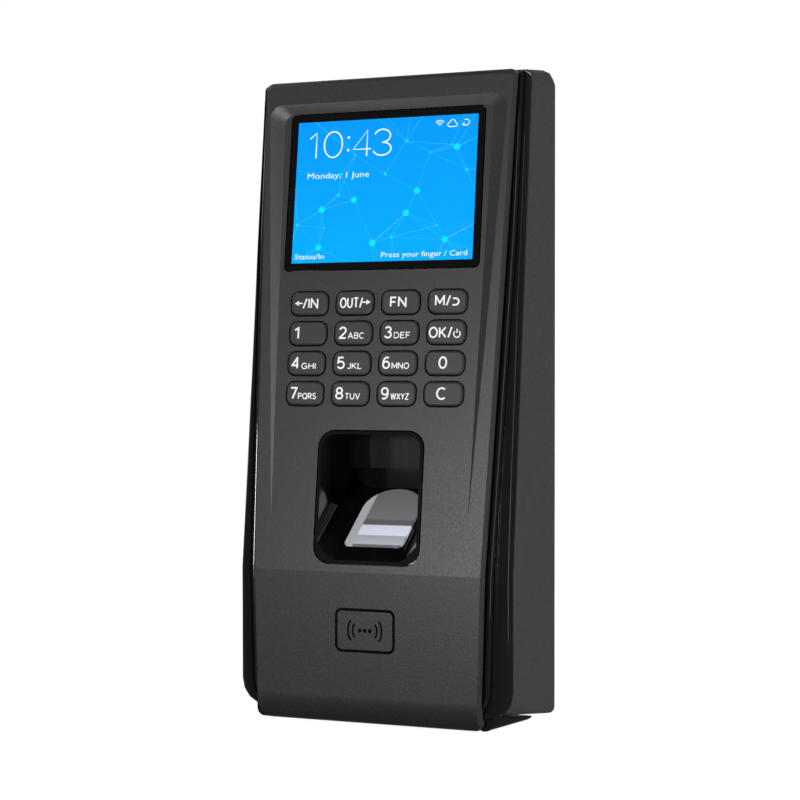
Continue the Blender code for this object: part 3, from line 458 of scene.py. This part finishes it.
RAMP_ANGLE = math.radians(34.4)
GLASS_ALONG = (0.0, math.cos(RAMP_ANGLE), math.sin(RAMP_ANGLE))
GLASS_RUN = 0.024           # length of the painted reflection pattern along the glass
GLASS_HALF = 0.008          # half the width of the strip's pattern


def sensor_glass():
    """Optical plate with painted light: bright and dark stripes of painted reflection over its lower part, a
    pale strip along the left edge and a grey arch with the window in it; the colour glows as painted light as
    well."""
    # Emission carries the plate's colour: a painted glow, not a lamp.
    s = Shader("sensor_glass_painted_glow_look", 0.08, Coat_Weight=0.6, Coat_Roughness=0.02,
               Emission_Strength=0.62)
    low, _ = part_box("sensor_prism")
    along = s.axis(GLASS_ALONG, tuple(low))
    # Stripes along the ramp: painted reflections.
    painted_reflection_bands = s.ramp(along, 0.0, GLASS_RUN, (
        (0.0, (0.13, 0.135, 0.15)), (0.06, (0.13, 0.135, 0.15)), (0.075, (0.42, 0.45, 0.5)),
        (0.21, (0.34, 0.36, 0.40)), (0.225, (0.66, 0.70, 0.80)), (0.38, (0.62, 0.66, 0.76)),
        (0.395, (0.11, 0.11, 0.115)), (0.47, (0.11, 0.11, 0.115)), (0.49, (0.17, 0.17, 0.175)),
        (1.0, (0.13, 0.13, 0.135))))
    strip = s.ramp(s.axis((1.0, 0.0, 0.0)), -GLASS_HALF, GLASS_HALF, (
        (0.0, 1.0), (0.15, 1.0), (0.165, 0.0), (1.0, 0.0)))
    pale = s.mixed(s.noise(240.0), (0.36, 0.37, 0.39), (0.42, 0.43, 0.45))
    # The painted reflections and the pale strip feed both colour and emission.
    painted_glow_colour = s.mixed(strip, painted_reflection_bands, pale)
    s.to("Base Color", painted_glow_colour)
    s.to("Emission Color", painted_glow_colour)
    s.to("Roughness", s.scaled(s.noise(800.0), 0.05, 0.12))
    return s.material


glass_painted_glow_look = sensor_glass()

LOOKS = {
    "cover_plastic": cover_look, "housing_plastic": housing_look, "gloss_plastic": gloss_look,
    "key_plastic": key_look, "inner_plastic": inner_look, "display_glass": lens_look,
    "sensor_glass": glass_painted_glow_look, "panel_metal": can_look, "plated_steel": steel_look,
    "circuit_board": board_look, "terminal_plastic": terminal_look, "silicone_rubber": silicone_look,
}


# Edges with a larger angle than this, in degrees, stay sharp.
SPLIT_ANGLES = {"front_cover": 11.0, "mid_frame": 40.0, "sensor_well": 20.0, "rear_housing": 20.0}
KEY_SPLIT = 14.0
OTHER_SPLIT = 32.0
CREASE_TOLERANCE = 0.00005
WELD_DISTANCE = 0.000002


def crease_height():
    """Height at which the cover's upper plane meets the lower one."""
    points = [v.co for v in nodes["front_cover"].data.vertices]
    front = min(p.y for p in points)
    return max(p.z for p in points if p.y < front + CREASE_TOLERANCE)


def split_angle(node):
    if node.startswith("key_"):
        return KEY_SPLIT
    return SPLIT_ANGLES.get(node, OTHER_SPLIT)


def dress(node, material):
    """Give a CAD node its look and shade its small facets as the curves they stand for."""
    obj = nodes[node]
    mesh = obj.data
    if node == "front_cover":
        crease = crease_height()
        for edge in mesh.edges:
            ends = [mesh.vertices[i].co for i in edge.vertices]
            if all(abs(p.z - crease) < CREASE_TOLERANCE for p in ends):
                edge.use_edge_sharp = True
    mesh.materials.clear()
    mesh.materials.append(material)
    for polygon in mesh.polygons:
        polygon.material_index = 0
        polygon.use_smooth = True
    if "custom_normal" in mesh.attributes:
        mesh.attributes.remove(mesh.attributes["custom_normal"])
    weld = obj.modifiers.new("weld", "WELD")
    weld.merge_threshold = WELD_DISTANCE
    split = obj.modifiers.new("split", "EDGE_SPLIT")
    split.split_angle = math.radians(split_angle(node))


for part in record["subparts"]:
    dress(part["node"], LOOKS[part["material_slot"]])


# ---------------------------------------------------------------- key legends

# Key legends: white print that glows, a painted light that keeps it bright.
ink = lit("legend_painted_glow_ink", (0.93, 0.94, 0.95), 0.85)

# Millimetres on a key's face, from its centre.
DIGIT_BASE = -1.5
DIGIT_CAP = 3.15
DIGIT_WIDTH = 0.46
SMALL_CAP = 1.65
SMALL_WIDTH = 0.26
WORD_WIDTH = 0.42
WORD_CAP = 2.75
ARROW_WIDTH = 0.34
SYMBOL_WIDTH = 0.3
# Digit and where it starts and ends, letters and where they start and end.
DIGITS = {
    "key_1": ("1", -3.7, -2.3, "", 0.0, 0.0), "key_2": ("2", -3.8, -1.6, "ABC", -1.3, 3.2),
    "key_3": ("3", -3.9, -1.8, "DEF", -1.3, 3.1), "key_4": ("4", -4.0, -1.8, "GHI", -1.2, 2.75),
    "key_5": ("5", -3.9, -1.7, "JKL", -1.0, 2.9), "key_6": ("6", -4.0, -1.9, "MNO", -1.5, 3.2),
    "key_7": ("7", -4.0, -1.9, "PQRS", -1.75, 3.3), "key_8": ("8", -3.9, -1.7, "TUV", -1.3, 2.85),
    "key_9": ("9", -4.0, -1.9, "WXYZ", -1.4, 3.5), "key_0": ("0", -1.55, 0.75, "", 0.0, 0.0),
    "key_clear": ("C", -1.8, 0.95, "", 0.0, 0.0),
}


def legend_digits():
    """Digit and letters of each number key, and the C of the clear key."""
    for key, (digit, x0, x1, letters, s0, s1) in DIGITS.items():
        face = face_frame(key)
        body = owner(key)
        written(key + "_digit", digit, x0, x1, DIGIT_BASE, DIGIT_CAP, DIGIT_WIDTH, face, ink,
                body)
        if letters:
            written(key + "_letters", letters, s0, s1, DIGIT_BASE, SMALL_CAP, SMALL_WIDTH,
                    face, ink, body)


def arrow_head(x, y, size):
    """Filled triangle that points along the sign of its size, as close strokes."""
    return [([(x, y), (x - size, y + abs(size) * 0.62), (x - size, y - abs(size) * 0.62)], True),
            ([(x, y), (x - size * 0.8, y)], False),
            ([(x - size * 0.7, y + abs(size) * 0.3), (x - size * 0.7, y - abs(size) * 0.3)], False)]


def legend_functions():
    """Words and symbols of the five function keys."""
    face = face_frame("key_in")
    body = owner("key_in")
    written("key_in_text", "/IN", -1.75, 2.55, -1.35, 2.7, 0.4, face, ink, body)
    strokes("key_in_arrow", [([(-3.4, 0.05), (-1.75, 0.05)], False)] + arrow_head(-3.75, 0.05, -0.85),
            ARROW_WIDTH, face, ink, body)

    face = face_frame("key_out")
    body = owner("key_out")
    written("key_out_text", "OUT/", -3.9, 2.4, -1.35, WORD_CAP, 0.4, face, ink, body)
    strokes("key_out_arrow", [([(2.2, 0.1), (3.9, 0.1)], False)] + arrow_head(4.25, 0.1, 0.85),
            ARROW_WIDTH, face, ink, body)

    written("key_fn_text", "FN", -2.75, 1.7, -1.3, 2.7, 0.44, face_frame("key_fn"), ink,
            owner("key_fn"))

    face = face_frame("key_menu")
    body = owner("key_menu")
    written("key_menu_text", "M/", -3.2, 1.0, -1.15, WORD_CAP, WORD_WIDTH, face, ink, body)
    hook = [(1.5, 0.72)] + arc(2.2, -0.1, 0.85, 0.82, 80, -90, 12) + [(1.45, -0.92)]
    strokes("key_menu_back", [(hook, False)], WORD_WIDTH, face, ink, body)

    face = face_frame("key_ok")
    body = owner("key_ok")
    written("key_ok_text", "OK/", -4.45, 1.75, -1.5, 2.85, WORD_WIDTH, face, ink, body)
    ring = arc(2.95, -0.5, 0.85, 0.85, 130, 410, 20)
    strokes("key_ok_power", [(ring, False), ([(2.95, -0.25), (2.95, 0.75)], False)],
            SYMBOL_WIDTH, face, ink, body)


legend_digits()
legend_functions()


# ---------------------------------------------------------------- card symbol

SYMBOL_LIFT = 0.00001
SYMBOL_HEIGHT = -0.0582


def card_symbol():
    """Rounded frame with three dots and two pairs of arcs, printed on the lower front."""
    low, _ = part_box("front_cover")
    face = Matrix.Identity(4)
    face.col[1][:3] = Vector((0.0, 0.0, 1.0))
    face.col[2][:3] = Vector((0.0, -1.0, 0.0))
    face.col[3][:3] = Vector((0.0, low[1] - SYMBOL_LIFT, SYMBOL_HEIGHT))
    dark = printed("symbol_ink", (0.006, 0.006, 0.006), 0.7, 0.0)
    w, h, r = 7.65, 5.1, 1.4
    border = (arc(w - r, h - r, r, r, 0, 90, 6) + arc(r - w, h - r, r, r, 90, 180, 6)
              + arc(r - w, r - h, r, r, 180, 270, 6) + arc(w - r, r - h, r, r, 270, 360, 6))
    strokes("card_symbol_frame", [(border, True)], 0.72, face, dark, MAIN,
            LEGEND_FLATNESS)
    waves = []
    for bulge, x_end, y_end in ((3.2, 2.6, 1.6), (4.45, 3.65, 2.35)):
        for side in (1, -1):
            waves.append(([(side * (x_end + (bulge - x_end) * math.cos(t * math.pi / 16)),
                            y_end * math.sin(t * math.pi / 16)) for t in range(-8, 9)], False))
    strokes("card_symbol_waves", waves, 0.5, face, dark, MAIN,
            LEGEND_FLATNESS)
    discs("card_symbol_dots", [(x, 0.0, 0.5) for x in (-1.33, 0.0, 1.33)], face, dark, MAIN)


card_symbol()


# ---------------------------------------------------------------- display picture

# Millimetres on the lit area, from its centre.
ACTIVE_W = 48.96
ACTIVE_H = 36.72
HALF_W = ACTIVE_W / 2
HALF_H = ACTIVE_H / 2
PLATE_THICKNESS = 0.03
PLATE_BEVEL = 0.008
CLOCK_BASE = 8.9
CLOCK_HEIGHT = 6.7
FOOT_BASE = -17.35
FOOT_CAP = 1.3
CLOCK_DIGITS = {
    "1": [([(0.0, 0.76), (0.62, 0.98), (0.62, 0.0)], False)],
    "0": [(arc(0.5, 0.5, 0.5, 0.5, 0, 348, 30), True)],
    "4": [([(0.78, 0.0), (0.78, 1.0), (0.0, 0.27), (1.0, 0.27)], False)],
    "3": [(arc(0.47, 0.75, 0.44, 0.25, 165, -90, 18), False),
          (arc(0.47, 0.25, 0.5, 0.25, 90, -165, 18), False)],
}
# Dots of the net: place and radius.
DOTS = [(-16.8, -4.6, 0.85), (-8.0, -2.4, 0.8), (9.0, -0.6, 0.85), (6.3, -6.2, 0.85),
        (-17.2, -14.4, 0.8), (-2.4, -13.6, 0.9), (19.2, 10.2, 0.85), (17.0, -13.2, 0.8),
        (5.6, 12.2, 0.42), (22.0, 4.2, 0.42), (-12.0, 4.3, 0.42), (0.2, 4.0, 0.42),
        (-12.4, -0.9, 0.42), (-23.4, -8.4, 0.4), (2.8, -12.2, 0.4), (12.2, 9.1, 0.28),
        (-16.0, -9.4, 0.28), (-8.2, 9.2, 0.3), (14.8, -9.6, 0.28), (17.8, 10.8, 0.35)]


def display_plate(face):
    """Blue ground of the picture, a little lighter towards its foot."""
    s = Shader("display_picture_look", 0.12, Emission_Strength=0.97)
    height = s.axis((0.0, 1.0, 0.0))
    sky = s.ramp(height, -HALF_H, HALF_H, ((0.0, (0.0, 0.43, 1.0)), (1.0, (0.0, 0.33, 1.0))))
    s.to("Emission Color", sky)
    s.to("Base Color", s.ramp(s.noise(300.0), 0.3, 0.7, ((0.0, (0.0, 0.02, 0.05)),
                                                        (1.0, (0.0, 0.025, 0.06)))))
    bm = bmesh.new()
    size = Matrix.Diagonal((ACTIVE_W, ACTIVE_H, PLATE_THICKNESS, 1.0))
    bmesh.ops.create_cube(bm, size=1.0, matrix=size)
    bmesh.ops.bevel(bm, geom=list(bm.edges), offset=PLATE_BEVEL, segments=1, affect="EDGES")
    data = bpy.data.meshes.new("display_picture")
    bm.to_mesh(data)
    bm.free()
    add("display_picture", data, face @ Matrix.Diagonal((MM, MM, MM, 1.0)), s.material, MAIN)


def display_net(front):
    """Dots joined to their nearest neighbours and to points on the picture's rim."""
    cyan = lit("display_cyan", (0.0, 0.78, 1.0), 0.95)
    faint = lit("display_line", (0.02, 0.46, 1.0), 0.95)
    random.seed(11)
    rim = []
    for _ in range(9):
        rim.append((random.uniform(-HALF_W, HALF_W), HALF_H))
        rim.append((random.uniform(-HALF_W, HALF_W), -HALF_H))
    for _ in range(6):
        rim.append((-HALF_W, random.uniform(-HALF_H, HALF_H)))
        rim.append((HALF_W, random.uniform(-HALF_H, HALF_H)))
    lines = set()
    for i, (x, y, _) in enumerate(DOTS):
        near = sorted(range(len(DOTS)), key=lambda k: math.hypot(DOTS[k][0] - x, DOTS[k][1] - y))
        for k in near[1:4]:
            lines.add((min(i, k), max(i, k)))
    net = [([DOTS[a][:2], DOTS[b][:2]], False) for a, b in sorted(lines)]
    for x, y in rim:
        target = min(DOTS, key=lambda d: math.hypot(d[0] - x, d[1] - y))
        net.append(([(x, y), target[:2]], False))
    strokes("display_net", net, 0.14, front, faint, MAIN, 0.2)
    discs("display_dots", DOTS, front, cyan, MAIN, 0.04)


def display_words(top):
    """Time, date, state, hint and three status icons."""
    white = lit("display_white", (0.93, 0.97, 1.0), 0.95)
    clock = []
    for digit, x0, width in (("1", -21.0, 2.9), ("0", -17.0, 5.0), ("4", -8.9, 4.8), ("3", -3.3, 4.9)):
        for points, closed in CLOCK_DIGITS[digit]:
            drawn = [(x0 + px * width, CLOCK_BASE + py * CLOCK_HEIGHT) for px, py in points]
            clock.append((drawn, closed))
    strokes("display_clock", clock, 0.34, top, white, MAIN, 0.15)
    discs("display_colon", [(-10.3, 10.6, 0.32), (-10.3, 13.9, 0.32)], top, white, MAIN)
    label("display_date", "Monday, 1 June", -21.2, -4.2, 3.5, 1.45, top, white, MAIN)
    label("display_state", "Status/In", -23.6, -15.5, FOOT_BASE, FOOT_CAP, top, white, MAIN)
    label("display_hint", "Press your finger / Card", 0.2, 23.1, FOOT_BASE, FOOT_CAP, top, white,
          MAIN)
    icons = [(arc(14.35, 15.5, r, r, 45, 135, 8), False) for r in (0.5, 1.05, 1.6)]
    cloud = (arc(17.0, 15.9, 0.55, 0.55, 90, 270, 8) + [(18.4, 15.35)]
             + arc(18.5, 15.85, 0.5, 0.5, -80, 90, 8) + arc(17.75, 16.4, 0.72, 0.72, 10, 165, 10))
    icons.append((cloud, True))
    icons.append((arc(21.3, 16.3, 0.85, 0.75, 120, -150, 12), False))
    icons.append(([(20.9, 15.4), (20.3, 15.8), (20.9, 16.2)], False))
    strokes("display_icons", icons, 0.2, top, white, MAIN, 0.15)


NET_LIFT = 0.00003          # the net stands this far off the plate's middle
WORDS_LIFT = 0.00004        # and the words this far off the net

display_face = face_frame("display_window")
display_front = display_face @ Matrix.Translation((0.0, 0.0, NET_LIFT))
display_plate(display_face)
display_net(display_front)
display_words(display_front @ Matrix.Translation((0.0, 0.0, WORDS_LIFT)))


# ---------------------------------------------------------------- studio

FLOOR_GAP = 0.0006
FLOOR_HALF = 6.0


def studio_floor():
    """Pale floor that neither lights the object nor shows in its gloss."""
    bm = bmesh.new()
    bmesh.ops.create_grid(bm, x_segments=1, y_segments=1, size=FLOOR_HALF)
    data = bpy.data.meshes.new("studio_floor")
    bm.to_mesh(data)
    bm.free()
    floor = bpy.data.objects.new("studio_floor", data)
    floor.location = (0.0, 0.0, cad_box[0][2] - FLOOR_GAP)
    bpy.context.scene.collection.objects.link(floor)
    s = Shader("floor_look", 0.9, Emission_Color=(1.0, 1.0, 1.0, 1.0), Emission_Strength=0.9,
               Specular_IOR_Level=0.0)
    s.to("Base Color", s.ramp(s.noise(3.0), 0.3, 0.7, ((0.0, 0.86), (1.0, 0.88))))
    data.materials.append(s.material)
    floor.visible_diffuse = False
    floor.visible_glossy = False


def studio_world():
    """White behind the object and dim grey elsewhere."""
    world = bpy.data.worlds.new("studio_world")
    bpy.context.scene.world = world
    world.use_nodes = True
    tree = world.node_tree
    background = tree.nodes["Background"]
    background.inputs["Strength"].default_value = 1.0
    coords = tree.nodes.new("ShaderNodeTexCoord").outputs["Generated"]

    def glow(direction, low, high, dark, bright):
        """Grey that rises from dark to bright as a direction comes near the given one."""
        dot = tree.nodes.new("ShaderNodeVectorMath")
        dot.operation = "DOT_PRODUCT"
        dot.inputs[1].default_value = direction
        tree.links.new(coords, dot.inputs[0])
        spread = tree.nodes.new("ShaderNodeMapRange")
        spread.interpolation_type = "SMOOTHSTEP"
        for key, value in (("From Min", low), ("From Max", high), ("To Min", dark), ("To Max", bright)):
            spread.inputs[key].default_value = value
        tree.links.new(dot.outputs["Value"], spread.inputs["Value"])
        return spread.outputs["Result"]

    total = tree.nodes.new("ShaderNodeMath")
    total.operation = "ADD"
    tree.links.new(glow((-0.369, 0.929, 0.0), 0.74, 0.9, 0.0, 0.97), total.inputs[0])
    tree.links.new(glow((0.0, 1.0, 0.0), -0.4, 0.9, 0.08, 0.05), total.inputs[1])
    tree.links.new(total.outputs["Value"], background.inputs["Color"])


def area(name, place, target, size, watts, diffuse=True, glossy=True):
    """Rectangular light that faces a target; it can be left out of one kind of light."""
    light = bpy.data.lights.new(name, "AREA")
    light.shape = "RECTANGLE"
    light.size, light.size_y = size
    light.energy = watts
    obj = bpy.data.objects.new(name, light)
    obj.location = place
    obj.rotation_euler = (Vector(target) - Vector(place)).to_track_quat("-Z", "Y").to_euler()
    obj.visible_diffuse = diffuse
    obj.visible_glossy = glossy
    bpy.context.scene.collection.objects.link(obj)


CENTRE = (0.0, 0.0, 0.0)
WELL_BACK = (0.0, -0.0128, -0.0155)


def studio_lights():
    """Soft light from the upper left, a low front light, a side light, and cards that are
    seen only as reflections in the gloss frame and on the finger well's back wall."""
    area("key_light", (-0.75, -0.45, 0.75), CENTRE, (0.5, 0.5), 1.9)
    area("low_light", (-0.10, -0.85, 0.045), CENTRE, (0.13, 0.13), 3.3)
    area("side_light", (0.9, -0.12, 0.02), (0.03, 0.0, 0.0), (0.3, 0.25), 12.0, glossy=False)
    area("side_card", (0.9, -0.3, 0.1), (0.03, 0.0, 0.0), (0.12, 0.6), 0.25, diffuse=False)
    area("well_patch", (-0.305, -0.8, -0.0495), WELL_BACK, (0.024, 0.023), 0.0007, diffuse=False)
    area("well_strip", (-0.337, -0.8, -0.05), WELL_BACK, (0.0022, 0.023), 0.0003, diffuse=False)


CAMERA_PLACE = (0.17753, -0.45589, 0.00403)
CAMERA_DIP = 0.664          # degrees below the horizontal
CAMERA_TURN = 21.645        # degrees to the side
CAMERA_LENS = 84.02         # millimetres, on a sensor of SENSOR_WIDTH
SENSOR_WIDTH = 36.0


def studio_camera():
    """Camera at the photograph's point of view."""
    camera_data = bpy.data.cameras.new("camera")
    camera_data.lens = CAMERA_LENS
    camera_data.sensor_width = SENSOR_WIDTH
    camera_data.clip_start = 0.01
    camera = bpy.data.objects.new("camera", camera_data)
    camera.location = CAMERA_PLACE
    camera.rotation_euler = (math.radians(90.0 - CAMERA_DIP), 0.0, math.radians(CAMERA_TURN))
    bpy.context.scene.collection.objects.link(camera)
    bpy.context.scene.camera = camera
    bpy.context.scene.view_settings.view_transform = "Standard"


studio_floor()
studio_world()
studio_lights()
studio_camera()

bpy.context.view_layer.update()
